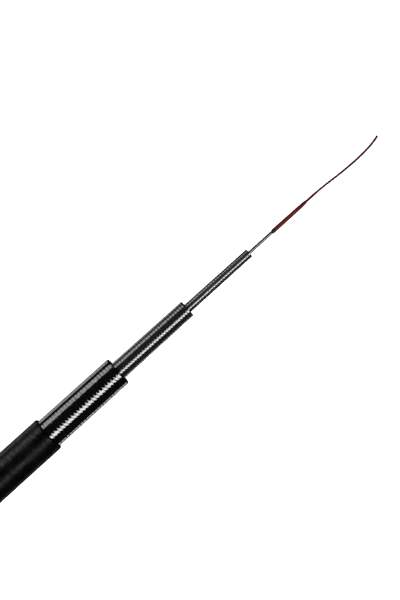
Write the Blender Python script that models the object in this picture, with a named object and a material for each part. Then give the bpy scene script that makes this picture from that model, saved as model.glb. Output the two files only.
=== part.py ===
"""Telescopic pole in five nested sections, with a threaded butt cap and a braided tip cord.

The pole lies along +X, tip towards +X, with the floor at Z = 0 and the origin under its middle.
Dimensions are in millimetres unless a name says otherwise; stations run along the axis.
"""

import math

import bmesh
import bpy
from mathutils import Matrix, Vector

MM = 0.001

# Whole pole: stations are measured from the outer face of the butt cap.
CAP_RIM_RADIUS = 11.0
BUTT_START = 10.0
BUTT_MOUTH = 618.7
SLEEVE_END = 792.0
NEST_STOP = 24.0
PULLED_OUT = 30.0
GAP = 0.3

# Butt tube.
BUTT_BASE_RADIUS = 10.7
BUTT_MOUTH_RADIUS = 9.5
BUTT_BASE_BORE = 9.9
BUTT_MOUTH_BORE = 8.5
LIP_LENGTH = 1.3
LIP_STEPS = 6

# Screw thread between the collar in the butt and the cap's plug.
THREAD_PITCH = 2.0
THREAD_TURNS = 3.5
THREAD_START = 12.0
RIDGE_CREST_WIDTH = 0.5
RIDGE_ROOT_WIDTH = 1.0
RIDGE_SUNK = 0.3
COLLAR_RADIUS = 9.75
COLLAR_ROOT = 9.15
COLLAR_CREST = 8.65
COLLAR_LENGTH = 10.5
PLUG_ROOT = 8.4
PLUG_CREST = 8.95

# Butt cap. Every second of its lines is a groove of the knurl.
CAP_SEGMENTS = 40
KNURL_DEPTH = 0.4
RIM_START = 0.8
RIM_END = 8.5
RIM_CHAMFER = 0.8
PAD_RADIUS = 8.2
PAD_THICKNESS = 2.0
PLUG_END = 20.0
PLUG_BORE = 6.8
PLUG_BORE_START = 6.0
SEAL_MAJOR = 9.2
SEAL_SECTION = 0.45
SEAL_SIDES = 8
CUSHION_RADIUS = 8.0
STEM_RADIUS = 6.4
STEM_START = 11.0
CUSHION_CHAMFER = 0.5

# Hollow sections: (station, radius) from each section's base, for the outside and for the bore.
# The three stations are the base, the parent's mouth in the rest pose and the section's own mouth.
SECTION_2_OUTSIDE = [(0, 8.2), (564.7, 8.14), (611.5, 7.97)]
SECTION_2_BORE = [(0, 7.5), (564.7, 7.4), (611.5, 7.2)]
SECTION_3_OUTSIDE = [(0, 6.85), (581.5, 4.93), (628.3, 4.63)]
SECTION_3_BORE = [(0, 6.25), (581.5, 4.35), (628.3, 4.07)]
SECTION_4_OUTSIDE = [(0, 3.87), (598.3, 2.52), (640, 2.4)]
SECTION_4_BORE = [(0, 3.4), (598.3, 2.05), (640, 1.93)]
TIP_BLANK_OUTSIDE = [(0, 1.75), (326, 1.15)]
TIP_BLANK_BORE = [(0, 1.35), (326, 0.85)]
EDGE_BREAK = 0.15

# Solid tip, spliced into the hollow tip blank, and its fittings; stations from the tip's base.
SPIGOT_START = 286.0
SPIGOT_RADIUS = 0.7
SHOULDER_RADIUS = 1.1
TIP_AT_MOUTH = (610.0, 0.88)
TIP_AT_CONE = (625.4, 0.84)
TIP_IN_SLEEVE = 0.5
TIP_END = 646.0
FILLET_HALF = 4.0
FILLET_RAMP = 1.5
FILLET_BORE = 1.32
FILLET_RADII = (1.42, 1.55)
CONE_LENGTH = 1.8
CONE_BORE = 0.99
CONE_RADII = (1.09, 1.18)
SLEEVE_LENGTH = 20.5
SLEEVE_TAPER = 3.0
SLEEVE_RADII = (1.16, 1.06, 0.84)
SLEEVE_BORES = (0.75, 0.6)

# Braided cord: from the sleeve's end, ahead, to the side and up from the floor.
CORD_RADIUS = 0.55
CORD_THICK_RADIUS = 0.68
CORD_THICK_LENGTH = 8.0
CORD_POINTS = 28
CORD_ROUTE = [
    (0.3, 0.0, 11.0),
    (4.0, 0.0, 10.97),
    (8.0, -0.05, 10.75),
    (11.5, -0.18, 9.9),
    (15.0, -0.42, 8.3),
    (18.5, -0.72, 6.2),
    (22.0, -0.94, 4.1),
    (25.5, -1.12, 2.4),
    (29.0, -1.25, 1.25),
    (32.5, -1.31, 0.7),
    (36.0, -1.24, 0.56),
    (39.5, -1.05, 0.56),
    (43.0, -0.7, 0.56),
    (46.0, -0.2, 0.56),
    (48.9, 0.5, 0.56),
]


def clear_scene():
    for old in list(bpy.data.objects):
        bpy.data.objects.remove(old, do_unlink=True)


def material(name, colour, roughness, metallic=0.0):
    finish = bpy.data.materials.new(name)
    finish.use_nodes = True
    shader = finish.node_tree.nodes["Principled BSDF"]
    shader.inputs["Base Color"].default_value = (*colour, 1.0)
    shader.inputs["Roughness"].default_value = roughness
    shader.inputs["Metallic"].default_value = metallic
    return finish


def axis_empty(name, station):
    """Empty on the pole's axis, at a station measured from the butt cap's outer face."""
    empty = bpy.data.objects.new(name, None)
    empty.location = ((station - SLEEVE_END / 2) * MM, 0.0, CAP_RIM_RADIUS * MM)
    bpy.context.collection.objects.link(empty)
    return empty


def add_object(name, data, parent, finish):
    piece = bpy.data.objects.new(name, data)
    piece.data.materials.append(finish)
    piece.parent = parent
    bpy.context.collection.objects.link(piece)
    return piece


def finished_mesh(name, bm):
    """Turn a bmesh into a mesh shaded smooth, with its crisp edges kept."""
    bmesh.ops.recalc_face_normals(bm, faces=bm.faces)
    mesh = bpy.data.meshes.new(name)
    bm.to_mesh(mesh)
    bm.free()
    mesh.shade_smooth()
    mesh.set_sharp_from_angle(angle=math.radians(35))
    return mesh


def turned(name, outline, segments, parent, finish):
    """Body of revolution about X from (station, radius) points.

    An outline that starts and ends on the axis makes a solid; any other is a closed ring.
    """
    bm = bmesh.new()
    points = [bm.verts.new((x * MM, 0.0, r * MM)) for x, r in outline]
    solid = outline[0][1] == 0 and outline[-1][1] == 0
    following = points[1:] if solid else points[1:] + points[:1]
    edges = [bm.edges.new(pair) for pair in zip(points, following)]
    bmesh.ops.spin(
        bm,
        geom=points + edges,
        cent=(0, 0, 0),
        axis=(1, 0, 0),
        angle=math.tau,
        steps=segments,
        use_merge=True,
    )
    bmesh.ops.remove_doubles(bm, verts=bm.verts, dist=0.002 * MM)
    return add_object(name, finished_mesh(name, bm), parent, finish)


def tube_outline(outside, bore):
    """Closed outline of a tube whose end edges are broken on the outside."""
    start, start_radius = outside[0]
    end, end_radius = outside[-1]
    skin = [(start, start_radius - EDGE_BREAK), (start + EDGE_BREAK, start_radius)]
    skin += outside[1:-1]
    skin += [(end - EDGE_BREAK, end_radius), (end, end_radius - EDGE_BREAK)]
    return skin + list(reversed(bore))


def unite(piece, guide):
    """Join a guide solid into a piece."""
    guide.hide_render = True
    guide.display_type = "WIRE"
    union = piece.modifiers.new("union", "BOOLEAN")
    union.operation = "UNION"
    union.solver = "EXACT"
    union.object = guide


def thread_ridge(name, start, root, crest, parent, finish):
    """Right-handed helical ridge; the root is sunk into the wall that carries it."""
    steps = CAP_SEGMENTS
    sunk_root = root - math.copysign(RIDGE_SUNK, crest - root)
    bm = bmesh.new()
    section = [
        bm.verts.new(((start - RIDGE_ROOT_WIDTH / 2) * MM, 0.0, sunk_root * MM)),
        bm.verts.new(((start - RIDGE_CREST_WIDTH / 2) * MM, 0.0, crest * MM)),
        bm.verts.new(((start + RIDGE_CREST_WIDTH / 2) * MM, 0.0, crest * MM)),
        bm.verts.new(((start + RIDGE_ROOT_WIDTH / 2) * MM, 0.0, sunk_root * MM)),
    ]
    half_step = Matrix.Rotation(math.pi / steps, 4, "X")
    bmesh.ops.transform(bm, matrix=half_step, verts=section)
    face = bm.faces.new(section)
    bmesh.ops.spin(
        bm,
        geom=[*section, *face.edges, face],
        cent=(0, 0, 0),
        axis=(1, 0, 0),
        dvec=(THREAD_PITCH * MM / steps, 0, 0),
        angle=math.tau * THREAD_TURNS,
        steps=round(steps * THREAD_TURNS),
    )
    return add_object(name, finished_mesh(name, bm), parent, finish)


def lip_outline():
    """Quarter-ellipse from the butt's outside to the edge of its bore."""
    drop = BUTT_MOUTH_RADIUS - BUTT_MOUTH_BORE - EDGE_BREAK
    points = []
    for step in range(LIP_STEPS + 1):
        angle = math.pi / 2 * step / LIP_STEPS
        station = BUTT_MOUTH - LIP_LENGTH + LIP_LENGTH * math.sin(angle)
        radius = BUTT_MOUTH_RADIUS - drop + drop * math.cos(angle)
        points.append((station, radius))
    return points


def butt_blank(parent):
    finish = material("butt_matte", (0.012, 0.012, 0.013), 0.55)
    outline = [(BUTT_START, BUTT_BASE_RADIUS - EDGE_BREAK)]
    outline += [(BUTT_START + EDGE_BREAK, BUTT_BASE_RADIUS)]
    outline += lip_outline()
    outline += [(BUTT_MOUTH, BUTT_MOUTH_BORE), (BUTT_START, BUTT_BASE_BORE)]
    return turned("butt_blank", outline, 48, parent, finish)


def butt_thread_collar(parent):
    finish = material("anodised_alloy", (0.05, 0.05, 0.055), 0.35, 1.0)
    start = BUTT_START + GAP
    end = start + COLLAR_LENGTH
    outline = [
        (start, COLLAR_RADIUS),
        (end, COLLAR_RADIUS),
        (end, COLLAR_ROOT),
        (start, COLLAR_ROOT),
    ]
    collar = turned("butt_thread_collar", outline, CAP_SEGMENTS, parent, finish)
    half_pitch = THREAD_PITCH / 2
    ridge = thread_ridge(
        "collar_thread_guide",
        THREAD_START + half_pitch,
        COLLAR_ROOT,
        COLLAR_CREST,
        parent,
        finish,
    )
    unite(collar, ridge)
    return collar


def knurl(plug):
    """Press every second line of the rim inwards."""
    for point in plug.data.vertices:
        radius = math.hypot(point.co.y, point.co.z)
        if radius > (BUTT_BASE_RADIUS - RIM_CHAMFER) * MM:
            line = round(math.atan2(point.co.y, point.co.z) / math.tau * CAP_SEGMENTS)
            if line % 2:
                scale = 1 - KNURL_DEPTH * MM / radius
                point.co.y *= scale
                point.co.z *= scale


def butt_cap_plug(parent):
    finish = material("cap_plastic", (0.015, 0.015, 0.016), 0.4)
    recess = PAD_RADIUS + GAP
    floor = PAD_THICKNESS + GAP
    outline = [
        (floor, 0),
        (floor, recess),
        (RIM_START, recess),
        (RIM_START, CAP_RIM_RADIUS - RIM_CHAMFER),
        (RIM_START + RIM_CHAMFER, CAP_RIM_RADIUS),
        (RIM_END - RIM_CHAMFER, CAP_RIM_RADIUS),
        (RIM_END, CAP_RIM_RADIUS - RIM_CHAMFER),
        (RIM_END, PLUG_ROOT),
        (PLUG_END, PLUG_ROOT),
        (PLUG_END, PLUG_BORE),
        (PLUG_BORE_START, PLUG_BORE),
        (PLUG_BORE_START, 0),
    ]
    plug = turned("butt_cap_plug", outline, CAP_SEGMENTS, parent, finish)
    knurl(plug)
    ridge = thread_ridge(
        "plug_thread_guide", THREAD_START, PLUG_ROOT, PLUG_CREST, parent, finish
    )
    unite(plug, ridge)
    return plug


def butt_cap_end_pad(parent):
    finish = material("pad_rubber", (0.02, 0.02, 0.02), 0.8)
    outline = [
        (0, 0),
        (0, PAD_RADIUS - EDGE_BREAK),
        (EDGE_BREAK, PAD_RADIUS),
        (PAD_THICKNESS, PAD_RADIUS),
        (PAD_THICKNESS, 0),
    ]
    return turned("butt_cap_end_pad", outline, CAP_SEGMENTS, parent, finish)


def butt_cap_seal_ring(parent):
    finish = material("seal_rubber", (0.02, 0.02, 0.02), 0.6)
    middle = (RIM_END + BUTT_START) / 2
    outline = []
    for step in range(SEAL_SIDES):
        angle = math.tau * step / SEAL_SIDES
        station = middle + SEAL_SECTION * math.sin(angle)
        outline.append((station, SEAL_MAJOR + SEAL_SECTION * math.cos(angle)))
    return turned("butt_cap_seal_ring", outline, CAP_SEGMENTS, parent, finish)


def butt_cap_cushion(parent):
    finish = material("cushion_foam", (0.03, 0.03, 0.032), 0.9)
    head_start = PLUG_END + GAP
    head_end = NEST_STOP - GAP
    outline = [
        (STEM_START, 0),
        (STEM_START, STEM_RADIUS - EDGE_BREAK),
        (STEM_START + EDGE_BREAK, STEM_RADIUS),
        (head_start, STEM_RADIUS),
        (head_start, CUSHION_RADIUS),
        (head_end - CUSHION_CHAMFER, CUSHION_RADIUS),
        (head_end, CUSHION_RADIUS - CUSHION_CHAMFER),
        (head_end, 0),
    ]
    return turned("butt_cap_cushion", outline, 36, parent, finish)


def tip_blank(parent, finish):
    outline = tube_outline(TIP_BLANK_OUTSIDE, TIP_BLANK_BORE)
    return turned("tip_blank", outline, 24, parent, finish)


def solid_tip(parent, finish):
    """Glass rod: a spigot in the tip blank, a shoulder against it, and a ground-down end."""
    shoulder = TIP_BLANK_OUTSIDE[-1][0] + GAP
    outline = [
        (SPIGOT_START, 0),
        (SPIGOT_START, SPIGOT_RADIUS),
        (shoulder, SPIGOT_RADIUS),
        (shoulder, SHOULDER_RADIUS),
        TIP_AT_MOUTH,
        TIP_AT_CONE,
        (TIP_AT_CONE[0] + CONE_LENGTH, TIP_IN_SLEEVE),
        (TIP_END, TIP_IN_SLEEVE),
        (TIP_END, 0),
    ]
    return turned("solid_tip", outline, 20, parent, finish)


def tip_splice_fillet(parent):
    """Whipping of resin round the splice between the tip blank and the solid tip."""
    finish = material("splice_resin", (0.03, 0.02, 0.015), 0.3)
    middle = TIP_BLANK_OUTSIDE[-1][0]
    crown = FILLET_HALF - FILLET_RAMP
    outline = [
        (middle - FILLET_HALF, FILLET_BORE),
        (middle - FILLET_HALF, FILLET_RADII[0]),
        (middle - crown, FILLET_RADII[1]),
        (middle + crown, FILLET_RADII[1]),
        (middle + FILLET_HALF, FILLET_RADII[0]),
        (middle + FILLET_HALF, FILLET_BORE),
    ]
    return turned("tip_splice_fillet", outline, 20, parent, finish)


def lillian_resin_cone(parent):
    finish = material("cone_resin", (0.02, 0.01, 0.01), 0.3)
    start = TIP_AT_CONE[0]
    end = start + CONE_LENGTH
    outline = [
        (start, CONE_BORE),
        (start, CONE_RADII[0]),
        (end, CONE_RADII[1]),
        (end, CONE_BORE),
    ]
    return turned("lillian_resin_cone", outline, 20, parent, finish)


def lillian_sleeve(parent):
    """Shrink sleeve over the end of the rod, tapering onto the cord."""
    finish = material("sleeve_red", (0.09, 0.012, 0.012), 0.45)
    start = TIP_AT_CONE[0] + CONE_LENGTH + GAP
    end = start + SLEEVE_LENGTH
    taper = end - SLEEVE_TAPER
    outline = [
        (start, SLEEVE_BORES[0]),
        (start, SLEEVE_RADII[0]),
        (taper, SLEEVE_RADII[1]),
        (end, SLEEVE_RADII[2]),
        (end, SLEEVE_BORES[1]),
        (taper, SLEEVE_BORES[0]),
    ]
    return turned("lillian_sleeve", outline, 20, parent, finish)


def smooth_route(route, count):
    """Points at equal steps of parameter on a Catmull-Rom curve through the route."""
    places = [Vector(point) for point in route]
    ends = [2 * places[0] - places[1], *places, 2 * places[-1] - places[-2]]
    points = []
    for step in range(count):
        along = step / (count - 1) * (len(places) - 1)
        span = min(int(along), len(places) - 2)
        t = along - span
        a, b, c, d = ends[span : span + 4]
        bend = (2 * a - 5 * b + 4 * c - d) * t**2 + (3 * b - 3 * c + d - a) * t**3
        points.append((2 * b + (c - a) * t + bend) / 2)
    return points


def lillian_cord(parent):
    finish = material("cord_red", (0.11, 0.03, 0.027), 0.8)
    data = bpy.data.curves.new("lillian_cord", "CURVE")
    data.dimensions = "3D"
    data.bevel_depth = CORD_RADIUS * MM
    data.bevel_resolution = 2
    data.use_fill_caps = True
    points = smooth_route(CORD_ROUTE, CORD_POINTS)
    spline = data.splines.new("POLY")
    spline.points.add(len(points) - 1)
    for target, point in zip(spline.points, points):
        local = (point.x, point.y, point.z - CAP_RIM_RADIUS)
        target.co = (*(value * MM for value in local), 1.0)
        thick = point.x < CORD_THICK_LENGTH
        target.radius = CORD_THICK_RADIUS / CORD_RADIUS if thick else 1.0
    cord = add_object("lillian_cord", data, parent, finish)
    cord.location.x = (SLEEVE_END - (NEST_STOP + 4 * PULLED_OUT)) * MM
    return cord


def main():
    clear_scene()
    butt_axis = axis_empty("butt_axis", 0)
    butt_blank(butt_axis)
    butt_thread_collar(butt_axis)

    cap_axis = axis_empty("butt_cap_axis", 0)
    butt_cap_plug(cap_axis)
    butt_cap_end_pad(cap_axis)
    butt_cap_seal_ring(cap_axis)
    butt_cap_cushion(cap_axis)

    blank_finish = material("blank_gloss", (0.01, 0.01, 0.011), 0.12)
    sections = [
        ("section_2", SECTION_2_OUTSIDE, SECTION_2_BORE, 48),
        ("section_3", SECTION_3_OUTSIDE, SECTION_3_BORE, 40),
        ("section_4", SECTION_4_OUTSIDE, SECTION_4_BORE, 32),
    ]
    station = NEST_STOP
    for name, outside, bore, segments in sections:
        station += PULLED_OUT
        section_axis = axis_empty(name + "_axis", station)
        outline = tube_outline(outside, bore)
        turned(name + "_blank", outline, segments, section_axis, blank_finish)

    tip_axis = axis_empty("tip_axis", station + PULLED_OUT)
    tip_blank(tip_axis, blank_finish)
    solid_tip(tip_axis, material("tip_glass", (0.03, 0.03, 0.032), 0.35))
    tip_splice_fillet(tip_axis)
    lillian_resin_cone(tip_axis)
    lillian_sleeve(tip_axis)
    lillian_cord(tip_axis)


main()
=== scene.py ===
"""Looks of the telescopic pole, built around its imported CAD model.

Every visible piece is a fine mesh turned, wound or braided about the pole's axis, which runs
along +X. Lengths are in metres.
"""

import math

import bmesh
import bpy
import numpy as np
from mathutils import Matrix, Vector


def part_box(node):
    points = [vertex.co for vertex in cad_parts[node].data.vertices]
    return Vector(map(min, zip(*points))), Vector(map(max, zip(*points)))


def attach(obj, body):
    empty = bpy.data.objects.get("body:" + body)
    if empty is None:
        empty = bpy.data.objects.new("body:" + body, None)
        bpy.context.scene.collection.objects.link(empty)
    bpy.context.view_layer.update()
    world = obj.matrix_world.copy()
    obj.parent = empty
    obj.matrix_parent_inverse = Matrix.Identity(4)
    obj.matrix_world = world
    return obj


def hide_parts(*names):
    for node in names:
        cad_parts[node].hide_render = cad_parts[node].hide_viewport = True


MM = 0.001
TAU = math.tau

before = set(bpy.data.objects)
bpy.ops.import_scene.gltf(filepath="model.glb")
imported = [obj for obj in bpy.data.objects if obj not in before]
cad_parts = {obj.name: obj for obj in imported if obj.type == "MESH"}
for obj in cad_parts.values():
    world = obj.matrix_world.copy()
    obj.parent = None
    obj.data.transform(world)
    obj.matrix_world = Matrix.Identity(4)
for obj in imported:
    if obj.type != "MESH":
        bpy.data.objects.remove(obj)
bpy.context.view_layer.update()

PLUG_LOW, PLUG_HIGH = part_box("butt_cap_plug")
AXIS_Z = (PLUG_LOW.z + PLUG_HIGH.z) / 2
BUTT_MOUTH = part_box("butt_blank")[1].x
SLEEVE_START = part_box("lillian_sleeve")[0].x
SLEEVE_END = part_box("lillian_sleeve")[1].x

# Tape windings: where one pitch is sampled, how square the bead between two grooves is, how much a
# groove's depth varies, and the notch where two turns meet, with the edge angle that is sharp.
WINDING_SAMPLES = (0.0, 0.05, 0.12, 0.26, 0.5, 0.74, 0.88, 0.95)
BEAD_POWER = 4
GROOVE_SPREAD = 0.25
GROOVE_LIMITS = (0.5, 1.6)
SEAM_DEPTH = 0.009 * MM
SEAM_SHARP = 24

# At its mouth a section eases inwards by a share of its radius, to a small chamfer.
EASED_LENGTH = 2.2 * MM
EASED_SHARE = 0.0125
MOUTH_CHAMFER = 0.05 * MM

# Threaded plug of the cap; its thread's section is in shares of half the pitch and of the height.
PLUG_RADIUS = 8.4 * MM
PLUG_BORE = 6.8 * MM
PLUG_FLOOR = 5.2 * MM
PLUG_CLEARANCE = 0.3 * MM
RIM_ROUNDING = 0.7 * MM
KNURL_TEETH = 60
KNURL_DEPTH = 0.18 * MM
THREAD_CREST = 8.95 * MM
THREAD_START = 11.2 * MM
THREAD_PITCH = 2 * MM
THREAD_TURNS = 3.5
THREAD_AROUND = 72
THREAD_FADE = 24
THREAD_SUNK = 0.15 * MM
THREAD_SECTION = (
    (-0.5, 0.0),
    (-0.34, 0.35),
    (-0.16, 0.85),
    (0.0, 1.0),
    (0.16, 0.85),
    (0.34, 0.35),
    (0.5, 0.0),
)

# The cord's route: ahead of the sleeve's end, to the side of the axis, and up from the floor.
CORD_ROUTE = [
    (-0.0015, 0.0, 0.011),
    (0.001, 0.0, 0.011),
    (0.004, 0.0, 0.01097),
    (0.008, -0.00005, 0.01075),
    (0.0115, -0.00018, 0.0099),
    (0.015, -0.00042, 0.0083),
    (0.0185, -0.00072, 0.0062),
    (0.022, -0.00094, 0.0041),
    (0.0255, -0.00112, 0.0024),
    (0.029, -0.00125, 0.00125),
    (0.0325, -0.00131, 0.0007),
    (0.036, -0.00124, 0.00056),
    (0.0395, -0.00105, 0.00056),
    (0.043, -0.0007, 0.00056),
    (0.046, -0.0002, 0.00056),
    (0.0489, 0.0005, 0.00056),
]
CORD_DIAMETER = 1.1 * MM
CORD_RINGS = 520
CORD_AROUND = 24
# Its start is thicker, its braid stands out past the plain cord, and its end is sealed to a bead.
CORD_THICK_LENGTH = 8.0 * MM
CORD_THICKENING = 0.1 * MM
CORD_FLUFF = 1.14
BRAID_RELIEF = 0.16
BRAID_STRANDS = 4
BRAID_LAY = 1.7 * MM
SEALED_RINGS = 8

# The rod, the cone and the sleeve are slightly thicker here than in the CAD.
ROD_THICKENING = 0.04 * MM
SLEEVE_FLUFF = 0.05 * MM
TIP_AROUND = 28


# ---------------------------------------------------------------- meshes


def rings_of(node):
    """{x: sorted radii} of the rings of vertices of a turned CAD node."""
    rings = {}
    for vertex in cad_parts[node].data.vertices:
        radius = math.hypot(vertex.co.y, vertex.co.z - AXIS_Z)
        rings.setdefault(round(vertex.co.x, 5), set()).add(round(radius, 5))
    return {x: sorted(rings[x]) for x in sorted(rings)}


def tube_profiles(node):
    """(x, radius) arrays of a CAD tube's outside and of its bore, from low to high x."""
    rings = rings_of(node)
    ends = [min(rings), max(rings)]
    outside = [(x, radii[-1]) for x, radii in rings.items() if x not in ends]
    bore = [(x, radii[0]) for x, radii in rings.items() if len(radii) > 1]
    outside = [(ends[0], outside[0][1]), *outside, (ends[1], outside[-1][1])]
    return np.array(outside), np.array(bore)


def mesh_piece(name, vertices, faces, finish, sharp=35):
    mesh = bpy.data.meshes.new(name)
    mesh.from_pydata(vertices, [], faces)
    return finished_piece(name, mesh, finish, sharp)


def finished_piece(name, mesh, finish, sharp=35):
    mesh.validate()
    mesh.shade_smooth()
    mesh.set_sharp_from_angle(angle=math.radians(sharp))
    mesh.materials.append(finish)
    piece = bpy.data.objects.new(name, mesh)
    bpy.context.scene.collection.objects.link(piece)
    return piece


def ring_points(x, radius, around):
    """Points of a ring about the pole's axis; x and radius are numbers or arrays."""
    theta = np.arange(around) * TAU / around
    points = np.zeros((around, 3))
    points[:, 0] = x
    points[:, 1] = -np.sin(theta) * radius
    points[:, 2] = AXIS_Z + np.cos(theta) * radius
    return points


def skin(name, rings, finish, loop=False, sharp=35):
    """Mesh over rings of equal size; loop joins last ring to first, else the ends are capped."""
    rings = np.asarray(rings)
    count, around = rings.shape[:2]
    index = np.arange(count * around).reshape(count, around)
    below = index if loop else index[:-1]
    above = np.roll(index, -1, axis=0) if loop else index[1:]
    quads = [below, np.roll(below, -1, axis=1), np.roll(above, -1, axis=1), above]
    faces = np.stack(quads, axis=-1).reshape(-1, 4).tolist()
    if not loop:
        faces.append(index[0, ::-1].tolist())
        faces.append(index[-1].tolist())
    return mesh_piece(name, rings.reshape(-1, 3).tolist(), faces, finish, sharp)


def arc(centre_x, centre_r, reach_x, reach_r, start, end, steps):
    """Points (x, radius) of a piece of an ellipse; angles in degrees from +radius towards +x."""
    angles = np.radians(np.linspace(start, end, steps))
    return [
        (centre_x + reach_x * math.sin(a), centre_r + reach_r * math.cos(a)) for a in angles
    ]


def rows_along(start, end, step):
    return np.linspace(start, end, max(2, round((end - start) / step) + 1))


def smooth_noise(rng, length, knots):
    """Smooth random curve of mean 0 and spread 1 over length samples."""
    values = rng.standard_normal(knots + 3)
    place = np.linspace(1, knots + 1 - 1e-6, length)
    low = place.astype(int)
    t = place - low
    a, b, c, d = (values[low + k - 1] for k in range(4))
    bend = (2 * a - 5 * b + 4 * c - d) * t**2 + (3 * b - 3 * c + d - a) * t**3
    return (2 * b + (c - a) * t + bend) / 2


def eased_drop(outside):
    """How far a section's mouth eases inwards."""
    return EASED_SHARE * outside[-1, 1]


def winding_points(outside, pitch, groove_depth, around, rng):
    """Points (step, sample, xyz) of a helical strip of tape, and which are between the ends."""
    start, end = outside[0, 0], outside[-1, 0]
    turns = math.ceil((end - start) / pitch) + 2
    phases = np.array(WINDING_SAMPLES)
    steps = around * turns + 1
    along = np.arange(steps)
    theta = along * TAU / around
    x = start - pitch + pitch * (along[:, None] / around + phases[None, :])
    inside = (x > start) & (x < end)
    x = np.clip(x, start, end)
    unevenness = 1 + GROOVE_SPREAD * smooth_noise(rng, steps, turns * 3)
    groove = np.abs(2 * phases - 1) ** BEAD_POWER
    depth = groove_depth * np.clip(unevenness, *GROOVE_LIMITS)[:, None] * groove[None, :]
    depth = depth + SEAM_DEPTH * (phases == 0)[None, :]
    ease = eased_drop(outside) * np.clip((x - (end - EASED_LENGTH)) / EASED_LENGTH, 0, 1) ** 2
    radius = np.interp(x, outside[:, 0], outside[:, 1]) - ease - np.where(inside, depth, 0)
    y = -np.sin(theta)[:, None] * radius
    z = AXIS_Z + np.cos(theta)[:, None] * radius
    return np.stack([x, y, z], axis=-1), inside


def winding_faces(steps, width, around):
    """Quads along the strip, and across the seam between each turn and the next."""
    index = np.arange(steps * width).reshape(steps, width)
    strip = [index[:-1, :-1], index[:-1, 1:], index[1:, 1:], index[1:, :-1]]
    seam_from, seam_to = index[: steps - around, -1], index[around:, 0]
    seam = [seam_from[:-1], seam_to[:-1], seam_to[1:], seam_from[1:]]
    return np.concatenate([np.stack(quads, axis=-1).reshape(-1, 4) for quads in (strip, seam)])


def close_tube(mesh, outside, bore):
    """Join the mouth of an open tube skin to its base, over the chamfer and through the bore."""
    start, end = outside[0, 0], outside[-1, 0]
    slack = 0.001 * MM
    bm = bmesh.new()
    bm.from_mesh(mesh)
    bmesh.ops.delete(bm, geom=[v for v in bm.verts if not v.link_faces], context="VERTS")
    ends = [v for v in bm.verts if v.co.x < start + slack or v.co.x > end - slack]
    bmesh.ops.remove_doubles(bm, verts=ends, dist=slack)
    rim = [e for e in bm.edges if e.is_boundary]
    base_rim = [e for e in rim if e.verts[0].co.x < start + slack]
    loop = [e for e in rim if e.verts[0].co.x > end - slack]
    for edge in loop:
        for vertex in edge.verts:
            vertex.co.x = end - MOUTH_CHAMFER
    for x, radius in [(end, outside[-1, 1] - eased_drop(outside) - MOUTH_CHAMFER), *bore[::-1]]:
        grown = bmesh.ops.extrude_edge_only(bm, edges=loop)["geom"]
        for vertex in (g for g in grown if isinstance(g, bmesh.types.BMVert)):
            across = Vector((0, vertex.co.y, vertex.co.z - AXIS_Z)).normalized() * radius
            vertex.co = (x, across.y, AXIS_Z + across.z)
        loop = [g for g in grown if isinstance(g, bmesh.types.BMEdge)]
    bmesh.ops.bridge_loops(bm, edges=loop + base_rim)
    bmesh.ops.recalc_face_normals(bm, faces=bm.faces)
    bm.to_mesh(mesh)
    bm.free()


def wound_tube(name, node, pitch, groove_depth, around, finish, seed):
    """Tube whose skin is one helical strip per turn of tape: rounded beads with grooves between."""
    outside, bore = tube_profiles(node)
    rng = np.random.default_rng(seed)
    points, inside = winding_points(outside, pitch, groove_depth, around, rng)
    faces = winding_faces(*inside.shape, around)
    held = inside.reshape(-1)[faces].any(axis=1)
    mesh = bpy.data.meshes.new(name)
    mesh.from_pydata(points.reshape(-1, 3).tolist(), [], faces[held].tolist())
    close_tube(mesh, outside, bore)
    return finished_piece(name, mesh, finish, SEAM_SHARP)


# ---------------------------------------------------------------- materials


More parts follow.
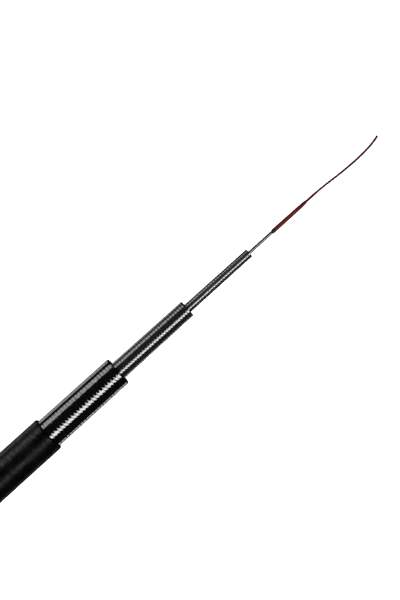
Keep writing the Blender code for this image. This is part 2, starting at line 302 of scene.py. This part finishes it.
class Finish:
    """Principled material with procedural detail, read from the piece's own coordinates."""

    def __init__(self, name, colour, roughness, metallic=0.0, **sockets):
        self.material = bpy.data.materials.new(name)
        self.material.use_nodes = True
        self.tree = self.material.node_tree
        self.shader = self.tree.nodes["Principled BSDF"]
        self.shader.inputs["Base Color"].default_value = (*colour, 1.0)
        self.shader.inputs["Roughness"].default_value = roughness
        self.shader.inputs["Metallic"].default_value = metallic
        for socket, value in sockets.items():
            self.shader.inputs[socket.replace("_", " ")].default_value = value
        self.place = self.tree.nodes.new("ShaderNodeTexCoord").outputs["Object"]

    def noise(self, size, stretch=(1, 1, 1), detail=4.0, roughness=0.55):
        """Noise with features of about size metres, longer along axes with stretch above 1."""
        mapping = self.tree.nodes.new("ShaderNodeMapping")
        mapping.inputs["Scale"].default_value = tuple(1 / (size * s) for s in stretch)
        texture = self.tree.nodes.new("ShaderNodeTexNoise")
        texture.inputs["Scale"].default_value = 1.0
        texture.inputs["Detail"].default_value = detail
        texture.inputs["Roughness"].default_value = roughness
        self.tree.links.new(self.place, mapping.inputs["Vector"])
        self.tree.links.new(mapping.outputs["Vector"], texture.inputs["Vector"])
        return texture.outputs["Fac"]

    def spread(self, value, low, high, from_low=0.3, from_high=0.7):
        node = self.tree.nodes.new("ShaderNodeMapRange")
        node.inputs["From Min"].default_value = from_low
        node.inputs["From Max"].default_value = from_high
        node.inputs["To Min"].default_value = low
        node.inputs["To Max"].default_value = high
        self.tree.links.new(value, node.inputs["Value"])
        return node.outputs["Result"]

    def math(self, operation, first, second):
        node = self.tree.nodes.new("ShaderNodeMath")
        node.operation = operation
        for socket, value in zip(node.inputs, (first, second)):
            if isinstance(value, (int, float)):
                socket.default_value = value
            else:
                self.tree.links.new(value, socket)
        return node.outputs["Value"]

    def tint(self, factor, dark, light):
        """Base colour from dark to light with the factor."""
        node = self.tree.nodes.new("ShaderNodeMix")
        node.data_type = "RGBA"
        colours = [socket for socket in node.inputs if socket.type == "RGBA"]
        colours[0].default_value = (*dark, 1.0)
        colours[1].default_value = (*light, 1.0)
        self.tree.links.new(factor, node.inputs["Factor"])
        result = [socket for socket in node.outputs if socket.type == "RGBA"][0]
        self.tree.links.new(result, self.shader.inputs["Base Color"])

    def drive(self, socket, value):
        self.tree.links.new(value, self.shader.inputs[socket])

    def bump(self, height, distance, strength=1.0):
        node = self.tree.nodes.new("ShaderNodeBump")
        node.inputs["Distance"].default_value = distance
        node.inputs["Strength"].default_value = strength
        self.tree.links.new(height, node.inputs["Height"])
        self.tree.links.new(node.outputs["Normal"], self.shader.inputs["Normal"])


def blank_finish(name, tone):
    """Gloss lacquer over wound composite, almost black; tone is its mean albedo."""
    finish = Finish(name, (tone, tone, tone), 0.06, IOR=1.5)
    cloth = finish.noise(0.4 * MM, (6, 1, 1), detail=3)
    dark, light = 0.6 * tone, 1.4 * tone
    finish.tint(finish.spread(cloth, 0, 1), (dark, dark, dark), (light, light, 1.04 * light))
    finish.drive("Roughness", finish.spread(finish.noise(3 * MM, (2, 1, 1)), 0.04, 0.1))
    finish.bump(finish.noise(0.9 * MM, detail=2), 0.004 * MM)
    return finish.material


def butt_finish():
    """Matte black lacquer, rubbed down around the tube, so its sheen is broken into soft rings."""
    finish = Finish("butt_matte", (0.001, 0.001, 0.001), 0.26, Specular_IOR_Level=0.06)
    rings = finish.noise(0.45 * MM, (1, 40, 40), detail=3)
    clouds = finish.noise(9 * MM, detail=3)
    finish.tint(finish.spread(clouds, 0, 1), (0.0004, 0.0004, 0.0004), (0.0016, 0.0016, 0.0015))
    mixed = finish.math("ADD", finish.spread(rings, -0.06, 0.06), finish.spread(clouds, 0.24, 0.3))
    finish.drive("Roughness", mixed)
    finish.bump(rings, 0.42 * MM)
    return finish.material


def moulded_finish():
    finish = Finish("cap_plastic", (0.014, 0.014, 0.015), 0.42)
    finish.drive("Roughness", finish.spread(finish.noise(2 * MM), 0.34, 0.5))
    finish.tint(finish.noise(5 * MM), (0.011, 0.011, 0.012), (0.019, 0.019, 0.02))
    finish.bump(finish.noise(0.3 * MM), 0.02 * MM)
    return finish.material


def rubber_finish(name, grain):
    finish = Finish(name, (0.02, 0.02, 0.02), 0.8)
    finish.tint(finish.noise(3 * MM), (0.014, 0.014, 0.014), (0.03, 0.029, 0.028))
    finish.drive("Roughness", finish.spread(finish.noise(1.5 * MM), 0.65, 0.9))
    finish.bump(finish.noise(grain), grain * 0.2)
    return finish.material


def alloy_finish():
    finish = Finish("anodised_alloy", (0.05, 0.05, 0.055), 0.35, 1.0)
    turning = finish.noise(0.12 * MM, (1, 60, 60), detail=2)
    finish.drive("Roughness", finish.spread(turning, 0.25, 0.45))
    finish.tint(turning, (0.035, 0.035, 0.04), (0.075, 0.075, 0.08))
    finish.bump(turning, 0.01 * MM)
    return finish.material


def tip_finish():
    """Ground glass-fibre rod under thin clear lacquer, dark grey with fine lengthwise fibres."""
    finish = Finish("tip_glass", (0.006, 0.006, 0.006), 0.1, IOR=1.5)
    fibres = finish.noise(0.15 * MM, (40, 1, 1), detail=3)
    finish.tint(finish.spread(fibres, 0, 1), (0.002, 0.002, 0.002), (0.01, 0.01, 0.0103))
    finish.drive("Roughness", finish.spread(finish.noise(1.2 * MM), 0.07, 0.13))
    finish.bump(fibres, 0.006 * MM)
    return finish.material


def resin_finish(name, dark, light):
    finish = Finish(name, dark, 0.3, Specular_IOR_Level=0.08)
    finish.tint(finish.noise(0.8 * MM), dark, light)
    finish.drive("Roughness", finish.spread(finish.noise(0.5 * MM), 0.2, 0.4))
    finish.bump(finish.noise(0.6 * MM, detail=1), 0.01 * MM)
    return finish.material


def sleeve_finish():
    """Dark red shrink tube with faint darker patches."""
    finish = Finish("sleeve_red", (0.07, 0.004, 0.003), 0.34, Specular_IOR_Level=0.1)
    patches = finish.noise(1.4 * MM, (2, 1, 1), detail=3)
    finish.tint(finish.spread(patches, 0, 1), (0.032, 0.0014, 0.001), (0.066, 0.0036, 0.003))
    finish.drive("Roughness", finish.spread(finish.noise(0.8 * MM), 0.3, 0.48))
    finish.bump(finish.noise(0.35 * MM, (1.5, 1, 1)), 0.012 * MM)
    return finish.material


def cord_finish():
    """Fine polyester braid, dull dark red, with lighter and darker threads."""
    finish = Finish("cord_red", (0.05, 0.01, 0.009), 0.75, Specular_IOR_Level=0.1)
    threads = finish.noise(0.12 * MM, (3, 1, 1), detail=2)
    finish.tint(finish.spread(threads, 0, 1), (0.02, 0.0012, 0.001), (0.058, 0.005, 0.004))
    finish.drive("Roughness", finish.spread(threads, 0.65, 0.85))
    finish.bump(finish.noise(0.05 * MM, (4, 1, 1)), 0.008 * MM)
    return finish.material


def whipping_finish():
    finish = Finish("splice_thread", (0.02, 0.015, 0.012), 0.2, IOR=1.5)
    finish.tint(finish.noise(0.3 * MM, (1, 8, 8)), (0.012, 0.01, 0.009), (0.035, 0.026, 0.02))
    finish.bump(finish.noise(0.1 * MM, (1, 6, 6)), 0.008 * MM)
    return finish.material


# ---------------------------------------------------------------- pieces


def place(piece, body, node, slot):
    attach(piece, body)
    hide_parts(node)


def make_butt():
    """Butt tube: faintly uneven under its lacquer, with a long rounded lip at the mouth."""
    rng = np.random.default_rng(11)
    outside, bore = tube_profiles("butt_blank")
    start = outside[0, 0]
    lip_start = outside[outside[:, 1] > outside[-1, 1] + 0.6 * MM][-1, 0]
    edge = 0.25 * MM
    rows = rows_along(start + edge, lip_start, 0.6 * MM)
    radii = np.interp(rows, outside[:, 0], outside[:, 1])
    ripple = 0.006 * MM * smooth_noise(rng, len(rows), len(rows) // 3)
    swell = 0.01 * MM * smooth_noise(rng, len(rows), len(rows) // 14)
    profile = [(start, outside[0, 1] - edge)]
    profile += list(zip(rows, radii - np.abs(ripple) - np.abs(swell)))
    mouth_bore = bore[-1, 1]
    drop = radii[-1] - mouth_bore - 0.1 * MM
    profile += arc(lip_start, radii[-1] - drop, BUTT_MOUTH - lip_start, drop, 4, 90, 16)
    profile += [(BUTT_MOUTH - 0.15 * MM, mouth_bore), *bore[::-1][1:]]
    rings = [ring_points(x, r, 72) for x, r in profile]
    butt = skin("butt_tube", rings, butt_finish(), loop=True)
    place(butt, "butt", "butt_blank", "butt_composite")


def make_sections():
    """Wound tubes; each row gives pitch, groove depth, points around, tone and random seed."""
    tubes = {
        "section_2": (1.9 * MM, 0.045 * MM, 40, 0.0016, 2),
        "section_3": (1.62 * MM, 0.042 * MM, 32, 0.0065, 3),
        "section_4": (1.585 * MM, 0.036 * MM, 24, 0.013, 4),
        "tip": (1.5 * MM, 0.02 * MM, 16, 0.014, 5),
    }
    for name, (pitch, depth, around, tone, seed) in tubes.items():
        node = f"{name}_blank"
        finish = blank_finish(f"blank_gloss_{name.removeprefix('section_')}", tone)
        tube = wound_tube(f"{name}_tube", node, pitch, depth, around, finish, seed)
        place(tube, "tip_section" if name == "tip" else name, node, "blank_composite")


def thread_rings(start):
    """Rings of a rounded helical ridge that grows out of the plug and sinks back into it."""
    rings = []
    steps = round(THREAD_TURNS * THREAD_AROUND)
    for step in range(steps + 1):
        theta = step * TAU / THREAD_AROUND
        rise = min(1.0, step / THREAD_FADE, (steps - step) / THREAD_FADE)
        middle = start + THREAD_PITCH * step / THREAD_AROUND
        ring = []
        for across, height in THREAD_SECTION:
            sunk = THREAD_SUNK if height == 0 else 0.0
            radius = PLUG_RADIUS + (THREAD_CREST - PLUG_RADIUS) * height * rise - sunk
            x = middle + across * THREAD_PITCH * 0.5
            ring.append((x, -math.sin(theta) * radius, AXIS_Z + math.cos(theta) * radius))
        rings.append(ring)
    return rings


def plug_profile(pad_end, recess):
    """(x, radius, share of the knurl's depth) from the pad's recess round to the plug's cup."""
    low, high = PLUG_LOW.x, PLUG_HIGH.x
    rim = (PLUG_HIGH.y - PLUG_LOW.y) / 2
    rim_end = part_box("butt_cap_seal_ring")[0].x - PLUG_CLEARANCE
    corner = rim - RIM_ROUNDING
    first, last = low + RIM_ROUNDING, rim_end - RIM_ROUNDING
    recess_floor = pad_end + PLUG_CLEARANCE
    bevel = 0.4 * MM
    outer_edge = arc(first, corner, -RIM_ROUNDING, RIM_ROUNDING, 90, 0, 7)
    inner_edge = arc(last, corner, RIM_ROUNDING, RIM_ROUNDING, 0, 90, 7)
    return [
        (recess_floor, recess - 0.6 * MM, 0.0),
        (recess_floor, recess, 0.0),
        (low + 0.15 * MM, recess, 0.0),
        (low, recess + 0.15 * MM, 0.0),
        *((x, r, 0.25) for x, r in outer_edge[:-1]),
        *((x, rim, 1.0) for x in rows_along(first, last, 0.5 * MM)),
        *((x, r, 0.25) for x, r in inner_edge[1:]),
        (rim_end, PLUG_RADIUS + PLUG_CLEARANCE, 0.0),
        (rim_end + PLUG_CLEARANCE, PLUG_RADIUS, 0.0),
        (high - bevel, PLUG_RADIUS, 0.0),
        (high, PLUG_RADIUS - bevel, 0.0),
        (high, PLUG_BORE, 0.0),
        (low + PLUG_FLOOR, PLUG_BORE, 0.0),
    ]


def make_plug():
    """Moulded plug with a fine straight knurl round its rim, and its thread."""
    pad_low, pad_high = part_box("butt_cap_end_pad")
    recess = (pad_high.y - pad_low.y) / 2 + PLUG_CLEARANCE
    around = 240
    teeth = np.cos(np.arange(around) * TAU / around * KNURL_TEETH)
    rings = []
    for x, r, share in plug_profile(pad_high.x, recess):
        depth = KNURL_DEPTH * share * (0.5 - 0.5 * teeth)
        rings.append(ring_points(x, r - depth, around))
    finish = moulded_finish()
    plug = skin("cap_plug", rings, finish)
    place(plug, "butt_cap", "butt_cap_plug", "cap_plastic")

    thread = skin("cap_thread", thread_rings(PLUG_LOW.x + THREAD_START), finish)
    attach(thread, "butt_cap")


def make_end_pad():
    """Rubber pad with concentric ribs."""
    low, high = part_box("butt_cap_end_pad")
    start, end = low.x, high.x
    radius = (high.y - low.y) / 2
    edge = 0.4 * MM
    ribs, steps = 5, 8
    rib_pitch = (radius - 2 * edge) / ribs
    profile = []
    for step in range(ribs * steps):
        depth = 0.22 * MM * (0.5 - 0.5 * math.cos(TAU * step / steps)) ** 0.6
        profile.append((start + depth, edge + step * rib_pitch / steps))
    profile += arc(start + edge, radius - edge, -edge, edge, 90, 0, 6)
    profile += [(end, radius), (end, edge)]
    rings = [ring_points(x, r, 96) for x, r in profile]
    pad = skin("cap_pad", rings, rubber_finish("pad_rubber", 0.25 * MM))
    place(pad, "butt_cap", "butt_cap_end_pad", "rubber_black")


def make_seal_ring():
    low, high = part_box("butt_cap_seal_ring")
    section = (high.x - low.x) / 2
    major = (high.y - low.y) / 2 - section
    middle = (low.x + high.x) / 2
    profile = arc(middle, major, section, section, 0, 360, 17)[:-1]
    rings = [ring_points(x, r, 96) for x, r in profile]
    ring = skin("cap_seal_ring", rings, rubber_finish("seal_rubber", 0.15 * MM), loop=True)
    place(ring, "cap_seal", "butt_cap_seal_ring", "rubber_black")


def make_cushion():
    """Closed-cell foam stop: a head crowned towards the sections, on a stem in the plug's cup."""
    rings_by_x = rings_of("butt_cap_cushion")
    stations = sorted(rings_by_x)
    stem_start, head_start, head_end = stations[0], stations[2], stations[-1]
    stem = rings_by_x[stations[1]][-1]
    head = max(radii[-1] for radii in rings_by_x.values())
    rounding = 1.2 * MM
    profile = [(stem_start, 0.5 * MM), (stem_start, stem - 0.4 * MM)]
    profile += [(stem_start + 0.4 * MM, stem), (head_start, stem), (head_start, head - 0.5 * MM)]
    profile += arc(head_start + rounding, head - rounding, rounding, rounding, -90, 60, 12)
    shoulder_x, shoulder_r = profile[-1]
    crown_steps = 12
    for step in range(1, crown_steps):
        share = step / crown_steps
        rise = (head_end - shoulder_x) * (1 - (1 - share) ** 2)
        profile.append((shoulder_x + rise, shoulder_r * (1 - share) + 0.3 * MM * share))
    rng = np.random.default_rng(3)
    around = 80
    rings = []
    for x, r in profile:
        dents = 1 + 0.004 * smooth_noise(rng, around, 24)
        rings.append(ring_points(x, r * dents, around))
    cushion = skin("cap_cushion", rings, rubber_finish("cushion_foam", 0.6 * MM), sharp=50)
    place(cushion, "butt_cap", "butt_cap_cushion", "rubber_black")


def make_tip():
    """Solid rod with its spigot, the whipping over the splice, and the cone of resin."""
    profile = [(x, r) for x, radii in rings_of("solid_tip").items() for r in radii if r > 0.05 * MM]
    start, spigot = profile[0]
    widest = max(r for _, r in profile)
    shoulder = next(x for x, r in profile if r == widest)
    front = [(shoulder, widest), *((x, r) for x, r in profile if x > shoulder)]
    rows = rows_along(shoulder, front[-1][0], 1.0 * MM)
    radii = np.interp(rows, *zip(*front))
    rng = np.random.default_rng(21)
    radii = radii + ROD_THICKENING * np.clip((rows - rows[0]) / (20 * MM), 0, 1)
    radii = radii - 0.006 * MM * np.abs(smooth_noise(rng, len(rows), len(rows) // 3))
    rear = [(start, spigot), (start + 0.2 * MM, spigot), (shoulder - 0.05 * MM, spigot)]
    rings = [ring_points(x, r, TIP_AROUND) for x, r in [*rear, *zip(rows, radii)]]
    rod = skin("tip_rod", rings, tip_finish())
    place(rod, "tip_section", "solid_tip", "tip_glass")

    make_whipping()
    make_cone(np.interp(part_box("lillian_resin_cone")[0].x, rows, radii))


def make_whipping():
    """Thread wound over the splice under resin, with a ramp at either end."""
    low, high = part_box("tip_splice_fillet")
    inner = min(r for radii in rings_of("tip_splice_fillet").values() for r in radii)
    outer = (high.y - low.y) / 2
    wrap, two_wraps = 0.02 * MM, 0.5 * MM
    edge = inner + 0.06 * MM
    profile = []
    for x in rows_along(low.x, high.x, 0.05 * MM):
        share = (x - low.x) / (high.x - low.x)
        ramp = min(1.0, share / 0.16, (1 - share) / 0.16)
        relief = wrap * abs(math.sin(TAU * (x - low.x) / two_wraps))
        profile.append((x, edge + (outer - edge - wrap) * ramp + relief))
    profile += [(high.x, inner), (low.x, inner)]
    rings = [ring_points(x, r, TIP_AROUND) for x, r in profile]
    whipping = skin("splice_whipping", rings, whipping_finish(), loop=True)
    place(whipping, "tip_section", "tip_splice_fillet", "resin_dark")


def make_cone(rod_radius):
    """Dome of dark resin that closes the sleeve's end round the rod."""
    low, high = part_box("lillian_resin_cone")
    top = (high.y - low.y) / 2 + SLEEVE_FLUFF
    inner = rod_radius + 0.02 * MM
    edge = inner + 0.06 * MM
    steps = 16
    profile = []
    for step in range(steps + 1):
        share = step / steps
        rise = (1 - (1 - share) ** 3) ** (1 / 2.2)
        profile.append((low.x + (high.x - low.x) * share, edge + (top - edge) * rise))
    end = SLEEVE_START - 0.02 * MM
    profile += [(end, top), (end, inner), (low.x, inner)]
    rings = [ring_points(x, r, TIP_AROUND) for x, r in profile]
    finish = resin_finish("cone_resin", (0.002, 0.0008, 0.0008), (0.007, 0.0016, 0.0014))
    cone = skin("resin_cone", rings, finish, loop=True)
    place(cone, "tip_section", "lillian_resin_cone", "resin_dark")


def make_sleeve():
    """Shrink sleeve: rounded ends, faint lengthwise creases, drawn in over the cord."""
    rng = np.random.default_rng(5)
    radii_at = rings_of("lillian_sleeve")
    stations = sorted(radii_at)
    start, taper, end = stations[0], stations[1], stations[-1]
    first, middle, last = (radii_at[x][-1] + SLEEVE_FLUFF for x in (start, taper, end))
    bore = radii_at[start][0]
    edge = 0.12 * MM
    rows = rows_along(start + edge, end - edge, 0.2 * MM)
    drawn = np.clip((rows - taper) / (end - taper), 0, 1)
    radii = np.interp(rows, [start, taper], [first, middle])
    radii = radii + (last - middle) * drawn**2 * (3 - 2 * drawn)
    uneven = 0.012 * MM * smooth_noise(rng, len(rows), 30)
    profile = [(start, first - 0.1 * MM), (start + 0.03 * MM, first - 0.03 * MM)]
    profile += list(zip(rows, radii - np.abs(uneven)))
    profile += [(end - 0.04 * MM, last - 0.03 * MM), (end, last - 0.08 * MM)]
    profile += [(end, CORD_DIAMETER / 2 + 0.24 * MM), (taper, bore), (start, bore)]
    around = 48
    creases = 0.018 * MM * smooth_noise(rng, around, 9)
    rings = []
    for x, r in profile:
        share = min(max((x - taper) / (end - taper), 0.0), 1.0)
        rings.append(ring_points(x, r + share * (1 - share) * 4 * creases, around))
    sleeve = skin("tip_sleeve", rings, sleeve_finish(), loop=True, sharp=60)
    place(sleeve, "tip_section", "lillian_sleeve", "sleeve_red")


def smooth_route(route, count):
    """Points at equal steps of parameter on a Catmull-Rom curve through the route."""
    places = [Vector(point) for point in route]
    ends = [2 * places[0] - places[1], *places, 2 * places[-1] - places[-2]]
    points = []
    for step in range(count):
        along = step / (count - 1) * (len(places) - 1)
        span = min(int(along), len(places) - 2)
        t = along - span
        a, b, c, d = ends[span : span + 4]
        bend = (2 * a - 5 * b + 4 * c - d) * t**2 + (3 * b - 3 * c + d - a) * t**3
        points.append((2 * b + (c - a) * t + bend) / 2)
    return points


def braid_height(turn, travel):
    """Height, 0 to 1, of a braid of two crossing sets of strands."""
    phase = BRAID_STRANDS * turn + BRAID_STRANDS * travel / BRAID_LAY
    one = phase % 1.0
    other = (BRAID_STRANDS * turn - BRAID_STRANDS * travel / BRAID_LAY) % 1.0
    over = math.cos(TAU * phase / 2) ** 2
    first = math.sqrt(max(0.0, 1 - (2 * one - 1) ** 2)) * (0.72 + 0.28 * over)
    second = math.sqrt(max(0.0, 1 - (2 * other - 1) ** 2)) * (1.0 - 0.28 * over)
    return max(first, second)


def cord_ring(point, normal, side, travel, left):
    """Ring of the cord, travel along it and with left rings still to come."""
    thick = (CORD_THICK_LENGTH + 1.5 * MM - travel) / (3 * MM)
    swell = 0.5 - 0.5 * math.cos(math.pi * min(max(thick, 0), 1))
    radius = (CORD_DIAMETER / 2 + CORD_THICKENING * swell) * CORD_FLUFF
    sealed = max(0.0, 1 - left / SEALED_RINGS)
    radius *= 1 + 0.14 * sealed - 0.4 * max(0.0, 1 - left / 2)
    ring = []
    for k in range(CORD_AROUND):
        theta = k * TAU / CORD_AROUND
        relief = 1 - BRAID_RELIEF * (1 - braid_height(k / CORD_AROUND, travel)) * (1 - sealed)
        across = normal * math.cos(theta) + side * math.sin(theta)
        ring.append(tuple(point + across * (radius * relief)))
    return ring


def make_cord():
    """Braided cord: thick where the rod's end is inside it, then limp, with a sealed end."""
    points = smooth_route([(x + SLEEVE_END, y, z) for x, y, z in CORD_ROUTE], CORD_RINGS)
    normal = Vector((0, 0, 1))
    travel = 0.0
    rings = []
    for number, point in enumerate(points):
        before, after = points[max(number - 1, 0)], points[min(number + 1, CORD_RINGS - 1)]
        direction = (after - before).normalized()
        normal = (normal - direction * normal.dot(direction)).normalized()
        travel += (point - before).length
        left = CORD_RINGS - 1 - number
        rings.append(cord_ring(point, normal, direction.cross(normal), travel, left))
    cord = skin("tip_cord", rings, cord_finish(), sharp=70)
    place(cord, "tip_section", "lillian_cord", "cord_braid")


def finish_collar():
    """The CAD's own threaded collar stays in view, with the alloy's look."""
    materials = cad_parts["butt_thread_collar"].data.materials
    materials.clear()
    materials.append(alloy_finish())


# ---------------------------------------------------------------- studio


VIEW_HEIGHT = 0.3
CAMERA_DISTANCE = 1.2
CAMERA_LEAN = math.radians(2.5)
CAMERA_ROLL = math.radians(42.07)
VIEW_CENTRE = Vector((BUTT_MOUTH + 0.1011, -0.00103, AXIS_Z))
WORLD_GLOW = 0.008
FLOOR_REACH = 12.0
FLOOR_DEPTH = 0.05 * MM

# Panels round the pole, whose reflections are the bands of light along it: distance from it,
# radiance, colour, and corners as (X, degrees from straight up towards +Y).
PANELS = {
    "strip": (
        3.0,
        20.0,
        (1.0, 0.985, 1.02),
        [
            (-1.0, -41.5),
            (-0.1, -42.6),
            (0.1, -47.0),
            (0.24, -48.7),
            (0.6, -50.0),
            (0.6, -21.0),
            (0.3, -19.0),
            (0.17, -26.8),
            (0.05, -27.6),
            (-0.1, -22.4),
            (-0.3, -17.0),
            (-1.0, -6.0),
        ],
    ),
    "side": (
        1.5,
        6.4,
        (1.0, 0.955, 0.93),
        [(-0.15, 51.0), (0.345, 51.0), (0.345, 82.0), (0.2, 82.0), (0.1, 85.5), (-0.15, 85.5)],
    ),
    "side_behind": (
        1.5,
        28.0,
        (1.0, 1.0, 1.0),
        [(-1.8, 51.0), (-0.55, 51.0), (-0.55, 83.0), (-1.8, 83.0)],
    ),
    "left_card": (
        1.5,
        2.3,
        (0.98, 1.0, 0.97),
        [(-1.5, 112.0), (0.1, 112.0), (0.26, 115.0), (0.26, 142.0), (-1.5, 146.0)],
    ),
    "right_card": (
        1.5,
        4.2,
        (1.0, 1.0, 1.0),
        [(0.0, -121.0), (0.26, -123.0), (0.26, -131.0), (0.1, -139.0), (0.0, -140.0)],
    ),
}


def make_camera():
    data = bpy.data.cameras.new("camera")
    data.sensor_width = 36
    data.lens = data.sensor_width * CAMERA_DISTANCE / VIEW_HEIGHT
    camera = bpy.data.objects.new("camera", data)
    bpy.context.scene.collection.objects.link(camera)
    back = Vector((math.sin(CAMERA_LEAN), 0, math.cos(CAMERA_LEAN)))
    ahead = (Vector((1, 0, 0)) - back * back.x).normalized()
    aside = back.cross(ahead)
    right = ahead * math.cos(CAMERA_ROLL) - aside * math.sin(CAMERA_ROLL)
    up = ahead * math.sin(CAMERA_ROLL) + aside * math.cos(CAMERA_ROLL)
    rotation = Matrix((right, up, back)).transposed().to_4x4()
    camera.matrix_world = Matrix.Translation(VIEW_CENTRE + back * CAMERA_DISTANCE) @ rotation
    bpy.context.scene.camera = camera


def emission(name, strength, colour=(1, 1, 1)):
    material = bpy.data.materials.new(name)
    material.use_nodes = True
    tree = material.node_tree
    tree.nodes.clear()
    glow = tree.nodes.new("ShaderNodeEmission")
    glow.inputs["Color"].default_value = (*colour, 1.0)
    glow.inputs["Strength"].default_value = strength
    out = tree.nodes.new("ShaderNodeOutputMaterial")
    tree.links.new(glow.outputs["Emission"], out.inputs["Surface"])
    return material


def make_panel(name, distance, radiance, colour, corners):
    """Glowing flat panel that faces the pole and spans the corners' angles."""
    angles = [angle for _, angle in corners]
    middle = math.radians((min(angles) + max(angles)) / 2)
    toward = Vector((0, math.sin(middle), math.cos(middle)))
    aside = Vector((0, math.cos(middle), -math.sin(middle)))
    points = []
    for x, angle in corners:
        reach = distance * math.tan(math.radians(angle) - middle)
        points.append(Vector((x, 0, AXIS_Z)) + toward * distance + aside * reach)
    mesh = bpy.data.meshes.new(name)
    mesh.from_pydata(points, [], [tuple(range(len(points)))])
    mesh.materials.append(emission(name, radiance, colour))
    panel = bpy.data.objects.new(name, mesh)
    bpy.context.scene.collection.objects.link(panel)
    panel.visible_camera = False
    panel.visible_shadow = False


def floor_material():
    material = bpy.data.materials.new("pale_floor")
    material.use_nodes = True
    shader = material.node_tree.nodes["Principled BSDF"]
    shader.inputs["Base Color"].default_value = (0.8, 0.8, 0.8, 1)
    shader.inputs["Roughness"].default_value = 0.9
    shader.inputs["Emission Color"].default_value = (1, 1, 1, 1)
    shader.inputs["Emission Strength"].default_value = 0.95
    return material


def make_floor():
    """Pale glowing floor just under the pole."""
    ways = ((-1, -1), (1, -1), (1, 1), (-1, 1))
    corners = [(x * FLOOR_REACH, y * FLOOR_REACH, -FLOOR_DEPTH) for x, y in ways]
    mesh = bpy.data.meshes.new("floor")
    mesh.from_pydata(corners, [], [(0, 1, 2, 3)])
    mesh.materials.append(floor_material())
    floor = bpy.data.objects.new("floor", mesh)
    bpy.context.scene.collection.objects.link(floor)
    floor.visible_glossy = False


def make_studio():
    """The floor, the panels, and a world that the camera sees white but that lights little."""
    make_floor()
    for name, panel in PANELS.items():
        make_panel(name, *panel)

    world = bpy.data.worlds.new("studio")
    bpy.context.scene.world = world
    world.use_nodes = True
    nodes = world.node_tree.nodes
    background = nodes["Background"]
    seen = nodes.new("ShaderNodeLightPath").outputs["Is Camera Ray"]
    level = nodes.new("ShaderNodeMapRange")
    level.inputs["To Min"].default_value = WORLD_GLOW
    level.inputs["To Max"].default_value = 1.0
    world.node_tree.links.new(seen, level.inputs["Value"])
    world.node_tree.links.new(level.outputs["Result"], background.inputs["Strength"])
    background.inputs["Color"].default_value = (1, 1, 1, 1)
    bpy.context.scene.view_settings.view_transform = "Standard"


# ---------------------------------------------------------------- build

make_camera()
make_cord()
make_butt()
make_sections()
make_plug()
make_end_pad()
make_seal_ring()
make_cushion()
make_tip()
make_sleeve()
finish_collar()
make_studio()
